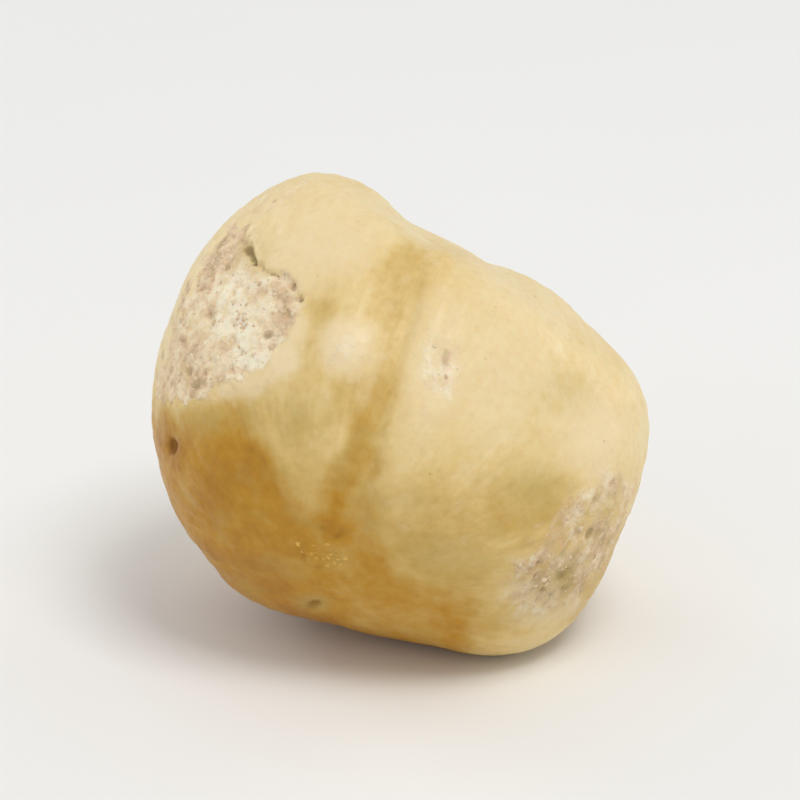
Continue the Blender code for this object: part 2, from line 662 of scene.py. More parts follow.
@dataclass(frozen=True)
class Stroke:
    """A mark along a line of points, in millimetres as seen from the front.

    Attributes:
        points: The line's points.
        width: Half its width, at which it has faded out.
        core: The share of that half width over which it is full.
        amount: How strong it is there.
    """

    points: tuple[Point, ...]
    width: float
    core: float = 0.3
    amount: float = 1.0

    def over(self, chart: Chart, waver: Field | float = 0.0) -> Field:
        """Draw the mark.

        Args:
            chart: The chart that it is drawn on.
            waver: Millimetres by which the line strays.

        Returns:
            Its strength at each point.
        """
        runs = zip(self.points, self.points[1:])
        nearest = np.min([distance_to(chart, start, end) for start, end in runs], axis=0)
        strength = fall(nearest + waver, self.core * self.width, self.width)
        return strength * on_side(chart, Side.FRONT) * self.amount


Mark = Oval | Patch | Stroke


def drawn(marks: Iterable[Mark], chart: Chart, waver: Field | float = 0.0) -> Field:
    """The strengths of several marks added up, with what moves their edges."""
    return sum(mark.over(chart, waver) for mark in marks)


MAIN_SCAR = Patch(
    (
        (-7.6, 0.35), (-5.7, 0.42), (-5.2, 0.95), (-4.2, 1.15), (-3.6, 1.85), (-3.15, 2.7),
        (-2.8, 3.2), (-3.1, 3.7), (-3.45, 4.05), (-4.3, 4.4), (-4.6, 4.9), (-4.6, 5.5),
        (-5.1, 5.7), (-6.0, 4.6), (-6.75, 3.2), (-7.1, 2.0),
    ),
    edge=0.22,
)
LOW_SCAR = Patch(
    (
        (6.2, -1.7), (5.3, -2.3), (4.5, -3.1), (3.8, -4.0), (3.2, -4.8), (3.1, -5.6),
        (4.2, -6.1), (5.6, -6.0), (7.2, -3.6), (7.2, -2.0),
    ),
    edge=0.6,
    amount=0.7,
)
# Golden brown over the lower left and the bottom: partly the waxy flesh's own colour and partly
# painted shade.
GOLDEN_AND_SHADED_PANEL = Patch(
    (
        (-9.0, 0.1), (-5.9, 0.1), (-5.1, 0.3), (-4.3, -0.6), (-3.5, -2.0), (-2.8, -2.95),
        (-2.0, -2.95), (-1.3, -3.4), (-0.4, -4.6), (1.4, -5.4), (2.3, -6.0), (1.6, -9.0),
        (-9.0, -9.0),
    ),
    edge=0.6,
    amount=0.36,
    wrap=6.5,
)
# A wider, softer edge to the same golden brown, also partly the flesh's own colour and partly painted
# shade.
GOLDEN_AND_SHADED_MARGIN = Patch(
    (
        (-9.0, 0.5), (-5.9, 0.5), (-4.8, 0.3), (-3.6, -0.6), (-2.2, -1.4), (-1.2, -1.6),
        (-0.5, -3.0), (0.8, -4.2), (2.4, -5.0), (3.0, -6.0), (2.6, -9.0), (-9.0, -9.0),
    ),
    edge=1.3,
    amount=0.34,
    wrap=7.0,
)
BACK_SCAR = Patch(
    (
        (-4.9, 2.5), (-4.2, 3.4), (-2.9, 3.0), (-1.9, 2.0), (-2.5, 1.5), (-3.5, 1.8),
        (-3.9, 0.9), (-4.8, 1.3),
    ),
    edge=0.5,
    amount=0.72,
    side=Side.BACK,
)
SCAR_CRACK = ((-4.65, 5.1), (-4.32, 4.48), (-3.96, 4.2), (-3.52, 4.05), (-3.2, 3.8), (-2.95, 3.35))
FURROW_FLOOR = ((0.05, 3.9), (-0.2, 3.1), (-0.4, 1.9), (-0.6, 0.6), (-1.1, -0.7))
FURROW_BRANCH = ((0.2, 4.6), (-0.8, 4.1), (-1.9, 3.7), (-2.5, 3.3))
FURROW_LIP = ((1.2, 4.6), (0.95, 2.8), (0.35, 1.0), (0.05, -0.4), (-0.3, -2.0), (-0.5, -3.0))


@dataclass(frozen=True)
class Marks:
    """The marks on this kernel. Those on its back are guessed.

    Attributes:
        meal: Dry, mealy flesh where the surface was rubbed or scarred.
        chalk: Where that is whiter, or less white where the amount is negative.
        tone: Flesh that is golden brown rather than creamy, or creamier where it is negative. Some of
            these marks are painted shade, wholly or in part, and one is painted light, as noted at
            each.
        olive: Flesh with a green tinge.
        pale: Waxy flesh that is paler than what is round it; the marks on the right flank and at the
            bottom edge are painted highlights.
        crease: Thin creases at the edge of the main scar and across the low one.
        dots: Little dark holes.
        pits: Brown pits.
        beads: Where oil has come out in small beads, at the base.
        skin: Brown skin that stayed on.
        lips: Low ridges.
    """

    meal: tuple[Mark, ...] = (
        MAIN_SCAR,
        LOW_SCAR,
        Stroke(((-5.4, 5.3), (-4.6, 6.0), (-3.9, 6.5), (-3.0, 6.8)), 0.5, amount=0.42),
        Oval(4.1, -5.3, 0.9, 0.7, lean=20, edge=0.8, amount=0.4),
        Oval(1.2, 1.3, 1.2, 0.55, lean=80, edge=0.7, amount=0.6),
        Oval(-1.5, 1.8, 0.7, 0.5, lean=60, edge=0.8, amount=0.36),
        BACK_SCAR,
        Oval(3.6, -2.9, 0.9, 2.0, lean=25, edge=0.8, amount=0.55, side=Side.BACK),
    )
    chalk: tuple[Mark, ...] = (
        Oval(-4.75, 2.75, 0.8, 1.4, lean=8, edge=0.6, amount=0.95),
        Oval(-4.1, 1.35, 0.9, 0.3, lean=24, edge=0.6, amount=0.5),
        Oval(-5.6, 5.0, 1.6, 1.2, lean=50, edge=0.6, amount=-0.4),
        Oval(-6.6, 1.4, 1.2, 0.9, edge=0.6, amount=-0.3),
        Oval(-3.4, 3.2, 0.6, 0.6, edge=0.6, amount=-0.25),
        Oval(5.4, -3.9, 2.0, 1.0, lean=55, edge=0.5, amount=-0.4),
        Oval(4.3, -5.7, 0.9, 0.6, lean=20, edge=0.6, amount=0.1),
        Oval(5.6, -2.9, 0.7, 0.3, lean=50, edge=0.6, amount=0.3),
        Oval(1.1, 0.9, 1.0, 0.6, lean=80, edge=0.6, amount=0.6),
        Oval(1.35, 1.7, 0.4, 0.25, lean=80, edge=0.8, amount=-0.6),
        Oval(-1.5, 1.8, 0.9, 0.7, edge=0.6, amount=0.3),
        Oval(-3.0, 2.2, 1.0, 0.7, lean=30, edge=0.6, amount=0.5, side=Side.BACK),
    )
    tone: tuple[Mark, ...] = (
        GOLDEN_AND_SHADED_PANEL,
        GOLDEN_AND_SHADED_MARGIN,
        # The strokes below follow the furrow and its branches: their tan is partly the flesh's own
        # colour and partly painted shade of the groove.
        Stroke(FURROW_FLOOR, 1.35, core=0.0, amount=0.28),
        Stroke(((0.5, 4.1), (1.0, 4.6), (1.8, 5.2)), 1.2, core=0.0, amount=0.09),
        Stroke(FURROW_BRANCH, 0.9, core=0.0, amount=0.17),
        Stroke(((-2.3, 3.0), (-2.5, 2.2), (-2.4, 1.2), (-1.8, 0.9)), 0.65, core=0.0, amount=0.14),
        Stroke(((-0.5, 0.4), (-0.75, -0.3), (-1.2, -1.3)), 1.1, core=0.0, amount=0.15),
        Oval(-1.9, -0.7, 0.8, 1.2, lean=-15, amount=0.07),
        Oval(-1.3, 0.9, 0.5, 0.5, amount=0.06),
        Stroke(((-1.15, -0.4), (-1.65, -1.4), (-1.8, -2.3)), 0.6, core=0.0, amount=0.16),
        Oval(-1.2, -3.0, 1.0, 0.8, lean=-60, amount=0.17),
        Oval(-1.8, -3.6, 0.8, 0.7, edge=0.8, amount=-0.12),
        Oval(0.9, -4.1, 3.2, 0.6, amount=-0.1),
        # Painted light: paler flesh along the bottom, making up for light that is short under the
        # kernel.
        Oval(0.3, -5.8, 2.4, 0.9, amount=-0.09),
        Oval(3.1, -6.4, 1.3, 0.6, lean=8, amount=0.14),
        Oval(-2.8, -0.9, 1.1, 1.1, amount=0.07),
        Oval(-4.1, -0.6, 1.0, 0.9, amount=0.1),
        Oval(-1.2, 3.0, 1.0, 0.5, lean=15, amount=0.18),
        # Deeper golden brown along the lower left edge, partly the flesh's own colour and partly
        # painted shade.
        Stroke(((-4.4, -4.7), (-3.4, -5.6), (-2.0, -6.0)), 0.9, core=0.0, amount=0.12),
        Oval(-3.6, 0.7, 2.2, 0.9, lean=-14, amount=0.18),
        # Deeper golden brown at the lower left, partly the flesh's own colour and partly painted
        # shade.
        Oval(-5.3, -3.6, 2.2, 2.6, lean=30, edge=0.8, amount=0.1),
        Oval(1.2, -3.2, 2.6, 1.6, amount=0.28),
        Oval(1.6, 3.7, 1.0, 1.3, amount=0.14),
        Oval(4.0, -2.2, 1.4, 1.0, lean=-15, amount=0.08),
        Oval(3.2, -3.8, 2.8, 1.8, lean=20, amount=0.18),
        Oval(5.4, -4.6, 2.4, 1.6, lean=55, edge=0.7, amount=0.24),
        # Painted shade: more golden brown at the right edge.
        Oval(6.1, 0.9, 1.3, 1.9, amount=0.12),
        Oval(-7.0, -0.9, 0.6, 0.6, amount=0.2),
        Oval(1.5, -4.6, 4.5, 2.2, lean=6, edge=0.8, amount=0.35, side=Side.BACK),
        Oval(-2.5, -3.5, 2.6, 2.4, lean=10, edge=0.8, amount=0.15, side=Side.BACK),
        Oval(1.3, 2.8, 1.4, 1.4, amount=0.3, side=Side.BACK),
    )
    olive: tuple[Mark, ...] = (
        Oval(4.0, -2.3, 0.95, 0.65, lean=-15, amount=0.5),
        Oval(1.6, -4.3, 1.2, 0.6, lean=-10, amount=0.3),
        Oval(4.4, -5.3, 1.1, 0.8, lean=20, amount=0.35),
        Oval(6.1, -2.9, 0.4, 0.9, lean=-30, amount=0.3),
        Oval(4.9, 0.7, 0.9, 0.6, amount=0.2),
        Oval(-6.0, -0.3, 1.3, 0.5, amount=0.18),
        Oval(-3.0, -0.2, 1.0, 0.9, amount=0.25),
        Oval(-4.4, 4.9, 0.5, 0.7, amount=0.3),
        Oval(-2.6, -5.8, 0.45, 0.25, amount=0.6),
        Oval(-4.2, -4.7, 0.9, 0.4, amount=0.12),
        Oval(5.0, -4.8, 0.5, 0.3, lean=50, amount=0.4),
        Stroke(((-1.2, -0.5), (-1.6, -1.2), (-1.75, -2.0)), 0.4, core=0.0, amount=0.3),
        Oval(2.6, -0.8, 1.6, 1.0, lean=20, amount=0.3, side=Side.BACK),
    )
    pale: tuple[Mark, ...] = (
        Oval(-1.5, 1.95, 0.85, 0.75, lean=60, edge=0.55, amount=0.9),
        Oval(-0.95, 0.85, 0.3, 0.7, lean=-20, edge=0.7, amount=0.2),
        Oval(-2.5, 5.0, 1.7, 1.4, lean=20, edge=0.6, amount=0.5),
        Oval(2.6, 2.2, 1.6, 2.2, lean=10, edge=0.7, amount=0.3),
        Oval(1.0, 1.1, 0.7, 1.5, lean=-10, edge=0.7, amount=0.5),
        Stroke(((-5.2, 0.7), (-4.1, 0.85), (-3.4, 1.5)), 0.6, core=0.0, amount=0.8),
        Stroke(((-3.4, 1.5), (-2.9, 2.6)), 0.4, core=0.0, amount=0.6),
        # Painted highlight: a soft pale band down the right flank.
        Oval(5.9, -0.6, 0.9, 1.3, lean=-10, edge=0.7, amount=0.75),
        # Painted highlight: a thin pale stroke at the bottom edge.
        Oval(4.4, -6.1, 1.0, 0.3, lean=8, edge=0.7, amount=0.6),
        Oval(3.5, 1.5, 2.2, 1.6, edge=0.7, amount=0.3, side=Side.BACK),
    )
    crease: tuple[Mark, ...] = (
        Stroke(SCAR_CRACK, 0.17),
        Stroke(((3.7, -5.7), (4.2, -4.9), (4.9, -4.2), (5.5, -3.4), (5.9, -2.6)), 0.16, amount=0.6),
        Stroke(((4.5, -5.8), (4.9, -5.1), (5.6, -4.4)), 0.15, amount=0.5),
        Stroke(((3.5, -5.1), (4.1, -4.5), (4.8, -3.7)), 0.14, amount=0.45),
    )
    dots: tuple[Mark, ...] = (
        Oval(-4.48, 4.74, 0.13, 0.26, lean=25, edge=0.7),
        Oval(-3.92, 2.31, 0.2, 0.14, lean=30, edge=0.7, amount=0.85),
        Oval(-5.7, 2.9, 0.2, 0.13, lean=60, edge=0.7, amount=0.6),
        Oval(-6.2, 0.8, 0.17, 0.13, edge=0.7, amount=0.6),
        Oval(-6.0, 1.6, 0.13, 0.18, edge=0.7, amount=0.5),
        Oval(1.35, 1.5, 0.13, 0.24, lean=20, edge=0.8, amount=0.55),
        Oval(5.72, -3.6, 0.12, 0.26, lean=-30, edge=0.8, amount=0.8),
        Oval(4.9, -4.9, 0.22, 0.1, lean=50, edge=0.8, amount=0.7),
        Oval(4.6, -5.5, 0.12, 0.2, lean=-20, edge=0.8, amount=0.6),
        Oval(6.3, -2.5, 0.14, 0.18, edge=0.8, amount=0.5),
    )
    pits: tuple[Mark, ...] = (
        Oval(-6.9, -1.02, 0.19, 0.25, edge=0.7),
        Oval(-2.62, -5.85, 0.28, 0.14, lean=15, amount=0.65),
        Oval(-2.26, -3.45, 0.17, 0.13, lean=-20, amount=0.35),
        Oval(-1.82, -3.65, 0.2, 0.13, lean=35, amount=0.4),
        Oval(-2.92, -4.38, 0.14, 0.16, amount=0.35),
        Oval(-2.47, -4.62, 0.18, 0.13, amount=0.35),
        Oval(-2.1, -0.6, 0.2, 0.14, edge=0.6, amount=0.7, side=Side.BACK),
    )
    beads: tuple[Mark, ...] = (Oval(-2.3, -4.2, 0.85, 0.42, lean=-8, edge=0.5),)
    skin: tuple[Mark, ...] = (
        Oval(1.4, 3.7, 1.2, 0.42, lean=-35, edge=0.8, side=Side.BACK),
        Oval(0.1, 3.1, 0.6, 0.3, lean=30, edge=0.8, side=Side.BACK),
    )
    lips: tuple[Mark, ...] = (
        Stroke(FURROW_LIP, 0.6),
        Oval(-1.55, 1.95, 0.8, 0.7, lean=60, edge=0.8, amount=0.9),
        Stroke(((-5.1, 0.8), (-4.2, 0.95), (-3.45, 1.75), (-2.95, 2.8)), 0.35, amount=0.5),
        Stroke(((-4.5, 0.3), (-4.0, -0.8), (-3.3, -2.0), (-2.8, -2.7)), 0.55, amount=0.6),
    )


@dataclass(frozen=True)
class KernelFinish:
    """The waxy flesh of a kernel whose brown skin has come off, mealy where it is scarred.

    A scale counts swells to a millimetre, or to a radian round the kernel for streaks and
    threads. A fray is how much noise wears at a mark's edge. A tone, chalk or relief is what a
    noise adds to the flesh's tone, to the whiteness of its meal or to its fine relief. A cover
    is how much a mark hides of what is under it.
    """

    creamy: Color = (0.84, 0.68, 0.375, 1.0)
    straw: Color = (0.77, 0.57, 0.24, 1.0)
    tan: Color = (0.63, 0.415, 0.115, 1.0)
    golden: Color = (0.525, 0.268, 0.02, 1.0)
    amber: Color = (0.42, 0.185, 0.008, 1.0)
    pale: Color = (0.87, 0.715, 0.45, 1.0)
    olive: Color = (0.50, 0.37, 0.115, 1.0)
    chalky: Color = (0.955, 0.865, 0.67, 1.0)
    floury: Color = (0.85, 0.68, 0.455, 1.0)
    rosy: Color = (0.71, 0.51, 0.33, 1.0)
    ashen: Color = (0.52, 0.39, 0.22, 1.0)
    speck: Color = (0.23, 0.16, 0.055, 1.0)
    pit: Color = (0.23, 0.085, 0.0, 1.0)
    stain: Color = (0.36, 0.14, 0.04, 1.0)
    waxy_roughness: float = 0.42
    mealy_roughness: float = 0.85
    roughness_spread: float = 0.35
    grain_depth: float = 0.02 * MM
    cloud_scale: float = 0.5
    tinge_scale: float = 0.8
    pore_scale: float = 1.3
    mottle_scale: float = 1.5
    blotch_scale: float = 1.7
    fine_scale: float = 3.6
    pebble_scale: float = 4.5
    grit_scale: float = 9.0
    streak_scale: float = 8.0
    thread_scale: float = 26.0
    tinge_shift: Triple = (9.0, 4.0, 2.0)
    blotch_shift: Triple = (3.0, 7.0, 1.0)
    fine_fray: float = 0.7
    grit_fray: float = 0.4
    meal_fray: float = 0.8
    pit_fray: float = 0.5
    stain_fray: float = 0.3
    cloud_tone: float = 0.25
    mottle_tone: float = 0.34
    streak_tone: float = 0.3
    fine_tone: float = 0.2
    thread_tone: float = 0.22
    blotch_chalk: float = 0.5
    fine_chalk: float = 0.25
    grit_chalk: float = 0.5
    marked_chalk: float = 0.45
    pebble_relief: float = 0.5
    thread_relief: float = 0.8
    grit_relief: float = 0.5
    meal_relief: float = 1.5
    meal_cover: float = 0.94
    speck_cover: float = 0.6
    pore_cover: float = 0.35
    stain_cover: float = 0.8
    olive_cover: float = 0.6
    olive_spread: float = 0.8
    tinge_cover: float = 0.25
    mottle_cover: float = 0.35
    streak_cover: float = 0.3

    def material(self) -> bpy.types.Material:
        """Build the finish.

        Returns:
            The material.
        """
        graph = ShaderGraph("blanched_flesh")
        place = (graph.position() - kernel_centre()) * TO_MM
        fine = graph.noise(place, self.fine_scale, detail=4.0)
        grit = graph.noise(place, self.grit_scale, detail=3.0)
        fray = (fine - 0.5) * self.fine_fray + (grit - 0.5) * self.grit_fray
        meal = (graph.attribute("meal") + fray * self.meal_fray).rise(0.12, 0.85)
        dark = (graph.attribute("dark") + fray).rise(0.3, 0.9)
        pit = (graph.attribute("pit") + fray * self.pit_fray).rise(0.15, 0.9)
        stain = (graph.attribute("stain") + fray * self.stain_fray).clipped()
        greenish = graph.attribute("olive") * (self.olive_cover + fine * self.olive_spread)
        pores = graph.cells(place, self.pore_scale).fall(0.04, 0.09) * fine.rise(0.48, 0.6)
        specks = dark * self.speck_cover + pores * self.pore_cover
        flesh = self._flesh(graph, place, fine)
        flesh = graph.blend(meal * self.meal_cover, flesh, self._meal(graph, place, fine, grit))
        flesh = graph.blend(greenish.clipped(), flesh, self.olive)
        flesh = graph.blend(specks.clipped(), flesh, self.speck)
        flesh = graph.blend(stain * self.stain_cover, flesh, self.stain)
        flesh = graph.blend(pit, flesh, self.pit)
        pebbles = graph.cells(place, self.pebble_scale).clipped()
        threads = graph.noise(graph.vector("fiber"), self.thread_scale, detail=3.0)
        grain = pebbles * self.pebble_relief + threads * graph.attribute("veined") * self.thread_relief
        grain = grain + grit * self.grit_relief + (fine + grit) * meal * self.meal_relief
        matt = meal.most(dark).most(pit)
        roughness = self.waxy_roughness + (fine - 0.5) * self.roughness_spread
        graph.set(
            {
                "Base Color": flesh,
                "Roughness": roughness + (self.mealy_roughness - roughness) * matt,
                "Normal": graph.bump(grain, self.grain_depth),
                "Metallic": 0.0,
                "IOR": 1.47,
                "Specular IOR Level": 0.28,
                "Subsurface Weight": 0.25,
                "Subsurface Radius": (1.0, 0.55, 0.22),
                "Subsurface Scale": 0.6 * MM,
                "Coat Weight": 0.04,
                "Coat Roughness": 0.28,
            }
        )
        return graph.material

    def _flesh(self, graph: ShaderGraph, place: Value, fine: Value) -> Value:
        """The colour of the waxy flesh: clouds and specks of tone, and streaks from base to tip. The
        tone and pale marks that it reads carry painted shade and painted highlights too.

        Args:
            graph: The material's graph.
            place: Where each point is, in millimetres.
            fine: Fine noise.

        Returns:
            The colour.
        """
        fiber = graph.vector("fiber")
        veined = graph.attribute("veined")
        cloudy = graph.noise(place, self.cloud_scale, detail=3.0) - 0.5
        mottled = graph.noise(place, self.mottle_scale, detail=4.0) - 0.5
        streaky = (graph.noise(fiber, self.streak_scale, detail=4.0) - 0.5) * veined
        threads = (graph.noise(fiber, self.thread_scale, detail=3.0) - 0.5) * veined
        tone = graph.attribute("tone") + cloudy * self.cloud_tone + mottled * self.mottle_tone
        tone = tone + streaky * self.streak_tone + (fine - 0.5) * self.fine_tone
        tone = tone + threads * self.thread_tone
        stops = (
            (0.0, self.creamy),
            (0.26, self.straw),
            (0.52, self.tan),
            (0.8, self.golden),
            (1.0, self.amber),
        )
        flesh = graph.ramp(tone.clipped(), stops)
        tinge = graph.noise(place + self.tinge_shift, self.tinge_scale, detail=2.0).rise(0.52, 0.7)
        flesh = graph.blend(tinge * tone.rise(0.1, 0.5) * self.tinge_cover, flesh, self.olive)
        bloom = graph.attribute("pale") + mottled.rise(0.05, 0.25) * self.mottle_cover
        bloom = bloom + streaky.rise(0.05, 0.25) * self.streak_cover
        return graph.blend((bloom * tone.fall(0.3, 0.9)).clipped(), flesh, self.pale)

    def _meal(self, graph: ShaderGraph, place: Value, fine: Value, grit: Value) -> Value:
        """The colour of dry mealy flesh, chalky in places.

        Args:
            graph: The material's graph.
            place: Where each point is, in millimetres.
            fine: Fine noise.
            grit: The finest noise.

        Returns:
            The colour.
        """
        blotchy = graph.noise(place + self.blotch_shift, self.blotch_scale, detail=3.0)
        chalk = blotchy.rise(0.3, 0.7) * self.blotch_chalk + fine.rise(0.35, 0.65) * self.fine_chalk
        chalk = chalk + (grit - 0.35) * self.grit_chalk + graph.attribute("chalk") * self.marked_chalk
        stops = ((0.0, self.ashen), (0.22, self.rosy), (0.5, self.floury), (0.9, self.chalky))
        return graph.ramp(chalk.clipped(), stops)


@dataclass(frozen=True)
class GrainFinish:
    """A small grain's finish, a little different from grain to grain.

    Attributes:
        name: The material's name.
        light: Its light colour.
        dark: Its dark colour.
        roughness: How rough it is, in the middle.
        roughness_spread: How much the roughness changes over it.
        shade_scale: How many light and dark swells go to a millimetre.
        grain_scale: How many swells of its relief go to a millimetre.
        grain_depth: How deep its relief is, in metres.
    """

    name: str
    light: Color
    dark: Color
    roughness: float
    roughness_spread: float = 0.15
    shade_scale: float = 2.4
    grain_scale: float = 14.0
    grain_depth: float = 0.008 * MM

    def material(self) -> bpy.types.Material:
        """Build the finish.

        Returns:
            The material.
        """
        graph = ShaderGraph(self.name)
        place = graph.position() * TO_MM
        shade = graph.noise(place, self.shade_scale, detail=3.0).rise(0.35, 0.65)
        grain = graph.noise(place, self.grain_scale, detail=2.0)
        graph.set(
            {
                "Base Color": graph.blend(shade, self.dark, self.light),
                "Roughness": self.roughness + (grain - 0.5) * self.roughness_spread,
                "Normal": graph.bump(grain, self.grain_depth),
                "Metallic": 0.0,
                "Specular IOR Level": 0.25,
            }
        )
        return graph.material


@dataclass(frozen=True)
class FloorFinish:
    """A plain pale floor. Its scale counts swells to a metre."""

    light: Color = (0.90, 0.90, 0.89, 1.0)
    dark: Color = (0.87, 0.87, 0.86, 1.0)
    scale: float = 40.0
    roughness: float = 0.6

    def material(self) -> bpy.types.Material:
        """Build the finish.

        Returns:
            The material.
        """
        graph = ShaderGraph("pale_floor")
        shade = graph.noise(graph.position(), self.scale, detail=3.0)
        color = graph.blend(shade, self.dark, self.light)
        graph.set({"Base Color": color, "Roughness": self.roughness})
        return graph.material


@dataclass
class Kernel:
    """The kernel's fine surface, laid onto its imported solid.

    Heights and depths are in millimetres, and a scale counts swells to a millimetre, or to a
    radian round the kernel for veins. A waver is how far noise moves a mark's edge, a strength
    is what a mark is multiplied by, and a share sets a smaller thing against the larger one of
    its kind.
    """

    cuts: int = 128
    smoothing: int = 26
    reach: float = 20.0 * MM
    broad_waver: float = 0.25
    ragged_waver: float = 0.3
    crease_share: float = 0.4
    meal_strength: float = 0.6
    meal_patchiness: float = 0.5
    crease_strength: float = 0.8
    stain_spread: float = 0.35
    stain_strength: float = 0.4
    even_tone: float = 0.06
    # Painted shade: how much more golden brown the flesh is made low down near the ground, away from
    # the front.
    shaded_tone: float = 0.3
    swell_height: float = 0.16
    swell_scale: float = 0.5
    lump_scale: float = 1.6
    lump_share: float = 0.35
    vein_height: float = 0.04
    vein_scale: float = 6.0
    vein_sharpness: float = 3.0
    meal_height: float = 0.02
    meal_roughness: float = 0.2
    crumb_scale: float = 2.0
    hollow_scale: float = 2.3
    hollow_share: float = 0.5
    crease_depth: float = 0.12
    dot_depth: float = 0.08
    pit_depth: float = 0.14
    bead_roughness: float = 0.2
    bead_scale: float = 2.6
    lip_height: float = 0.12
    ripple_height: float = 0.02
    ripples_per_radian: float = 16.0
    marks: Marks = Marks()
    finish: KernelFinish = KernelFinish()

    def build(self) -> bpy.types.Object:
        """Make the piece.

        Returns:
            The kernel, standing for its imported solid.
        """
        finish = self.finish.material()
        blank = self._laid_on_solid(finish)
        self._mark(blank.data)
        kernel = self._relieved(blank, finish)
        bpy.data.objects.remove(blank, do_unlink=True)
        return kernel

    def _laid_on_solid(self, finish: bpy.types.Material) -> bpy.types.Object:
        """Lay a round mesh onto the solid, along lines from its centre, and smooth it.

        Args:
            finish: The kernel's finish.

        Returns:
            The smooth mesh's object.
        """
        graph = GeometryGraph("kernel_blank")
        solid = graph.surface_of(graph.input("Solid", "Object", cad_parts[SOLID]))
        centre = graph.input("Centre", "Vector", kernel_centre())
        ball = self._ball(graph)
        direction = graph.position()
        sockets = {
            "Target Geometry": solid,
            "Source Position": centre,
            "Ray Direction": direction,
            "Ray Length": graph.input("Reach", "Float", self.reach),
        }
        hit = graph.node("GeometryNodeRaycast", {"data_type": "FLOAT"}, sockets, "Hit Distance")
        rounds = graph.input("Rounds of smoothing", "Int", self.smoothing)
        sockets = {"Value": hit, "Iterations": rounds}
        distance = graph.node("GeometryNodeBlurAttribute", {"data_type": "FLOAT"}, sockets)
        laid = graph.place(ball, direction * distance + centre)
        return graph.run("kernel_blank", self._grounded(graph, laid), finish)

    def _ball(self, graph: GeometryGraph) -> Value:
        """An evenly cut cube, blown up into a ball of radius 1.

        Args:
            graph: The tree that it is made in.

        Returns:
            The ball.
        """
        points = graph.input("Points on an edge", "Int", self.cuts + 1)
        sockets = dict.fromkeys(("Vertices X", "Vertices Y", "Vertices Z"), points)
        cube = graph.node("GeometryNodeMeshCube", None, sockets | {"Size": (2.0, 2.0, 2.0)})
        bowed = graph.calculate("TANGENT", graph.position() * (math.pi / 4))
        return graph.place(cube, bowed.unit())

    def _grounded(self, graph: GeometryGraph, geometry: Value) -> Value:
        """Lift every point that is under the ground onto it."""
        lowest = (-1.0, -1.0, 0.0)
        return graph.place(geometry, graph.position().most(lowest))

    def _mark(self, mesh: bpy.types.Mesh) -> None:
        """Keep the kernel's marks on its points, for its relief, its finish and its grains.

        Args:
            mesh: The smooth kernel's mesh.
        """
        chart = Chart.of(mesh)
        marks = self.marks
        broad = smooth_noise(chart.place, scale=0.8, layers=3, seed=3.7) * self.broad_waver
        ragged = smooth_noise(chart.place, scale=1.9, layers=4, seed=8.1) * self.ragged_waver
        patchy = rise(smooth_noise(chart.place, scale=1.4, layers=3, seed=1.3), -0.4, 0.2)
        mealy = self.meal_strength + patchy * self.meal_patchiness
        broken = rise(smooth_noise(chart.place, scale=2.6, layers=3, seed=6.4), -0.35, 0.3)
        # Painted shade: the flesh is made more golden brown low down near the ground and away from the
        # front.
        shaded = fall(chart.height, 1.0, 7.0) * fall(chart.toward, -3.0, 1.0)
        crease = drawn(marks.crease, chart, ragged * self.crease_share)
        dots = drawn(marks.dots, chart, ragged)
        pits = drawn(marks.pits, chart, ragged)
        stain = drawn(marks.skin, chart, ragged - self.stain_spread)
        rings = np.sin(np.radians(chart.arc) * self.ripples_per_radian * math.tau)
        rings = rings * rise(chart.arc, 3.0, 7.0) * fall(chart.arc, 8.0, 18.0)
        height = drawn(marks.lips, chart) * self.lip_height + rings * self.ripple_height
        height = height - crease * self.crease_depth - dots * self.dot_depth - pits * self.pit_depth
        shares = {
            "meal": drawn(marks.meal, chart, ragged) * mealy,
            "olive": drawn(marks.olive, chart, broad),
            "pale": drawn(marks.pale, chart, broad),
            "dark": crease * broken * self.crease_strength + dots,
            "pit": pits,
            "bead": drawn(marks.beads, chart, ragged),
            "skin": drawn(marks.skin, chart, ragged),
        }
        fields = {name: np.clip(share, 0.0, 1.0) for name, share in shares.items()} | {
            "chalk": drawn(marks.chalk, chart, ragged),
            "tone": self.even_tone + drawn(marks.tone, chart, broad) + self.shaded_tone * shaded,
            "stain": np.clip(stain, 0.0, 1.0) * self.stain_strength,
            "veined": rise(chart.arc, 14.0, 50.0) * fall(chart.arc, 145.0, 175.0),
            "marked_height": height,
        }
        for name, field in fields.items():
            attribute = mesh.attributes.new(name, "FLOAT", "POINT")
            attribute.data.foreach_set("value", field.astype(np.float32))
        attribute = mesh.attributes.new("fiber", "FLOAT_VECTOR", "POINT")
        attribute.data.foreach_set("vector", chart.fiber.astype(np.float32).ravel())

